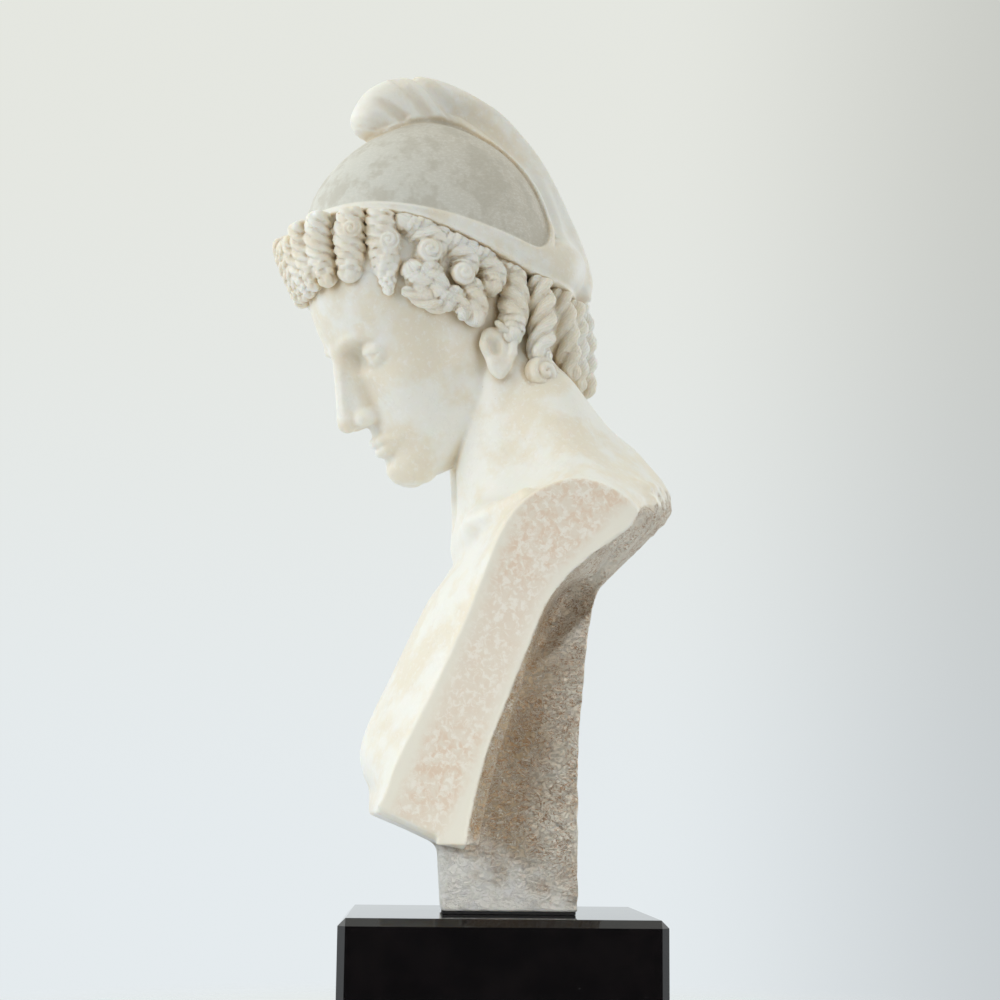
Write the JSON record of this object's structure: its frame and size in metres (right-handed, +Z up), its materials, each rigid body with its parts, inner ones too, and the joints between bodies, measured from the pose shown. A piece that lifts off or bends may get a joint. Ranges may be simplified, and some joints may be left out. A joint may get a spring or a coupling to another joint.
{
  "type": "marble bust",
  "caption": "Life-size marble bust of a bowed youthful head in a soft peaked cap over corkscrew curls, cut-arm chest shell and rough rear pillar, on a polished black stone plinth.",
  "frame": {"origin": "middle of the plinth's underside, on the felt that rests on the table", "axes": "+Z up, the chest and plinth face -Y, the bust's own left shoulder is on +X; the head is turned 20 degrees towards +X and bowed"},
  "size_m": [0.2939, 0.3388, 0.845],
  "materials": {
    "white_marble": "carved creamy white marble, polished on the skin and cap, crystalline on the cut sides, rough chiselled on the pillar",
    "black_stone": "high-gloss black stone with polished chamfers",
    "black_rubber": "thin matte black packing sheet",
    "stainless_steel": "turned stainless steel",
    "black_felt": "glued black wool felt"
  },
  "bodies": {
    "root": {"marble_bust": "white_marble", "foot_pad": "black_rubber", "plinth": "black_stone", "anchor_sleeve": "stainless_steel", "mounting_bolt": "stainless_steel", "bolt_washer": "stainless_steel", "lock_washer": "stainless_steel", "locating_pin_front": "stainless_steel", "locating_pin_rear": "stainless_steel", "underside_felt": "black_felt"}
  },
  "joints": []
}
